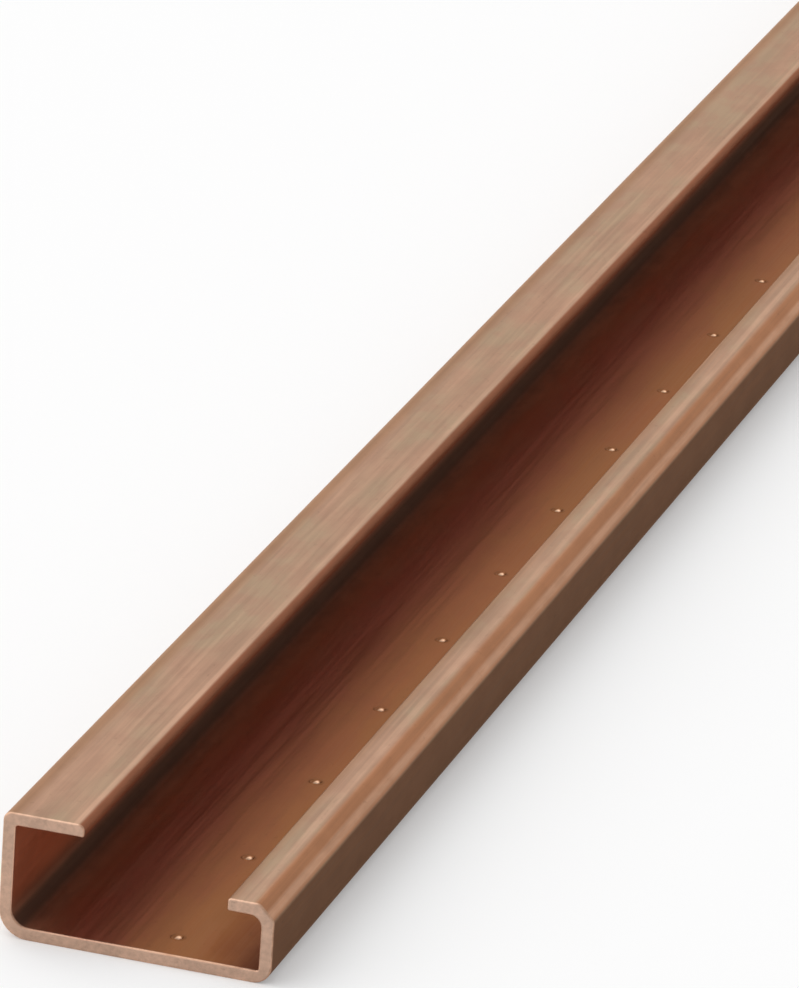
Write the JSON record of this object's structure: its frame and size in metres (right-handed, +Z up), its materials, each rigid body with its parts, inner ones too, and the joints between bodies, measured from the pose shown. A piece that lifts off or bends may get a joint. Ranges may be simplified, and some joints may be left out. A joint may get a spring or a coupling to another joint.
{
  "type": "mounting rail",
  "caption": "Bare copper G-section mounting rail, unperforated, with a wide and a narrow inturned lip and a row of punch marks along its web.",
  "frame": {"origin": "under the middle of the web, at the centre of the bounding box's bottom face", "axes": "+Y along the rail, +Z up from the web towards the lips, +X across the rail from the tall side with the wide lip to the low side with the narrow lip"},
  "size_m": [0.032, 1, 0.015],
  "materials": {
    "copper": null
  },
  "bodies": {
    "root": {"rail": "copper"}
  },
  "joints": []
}
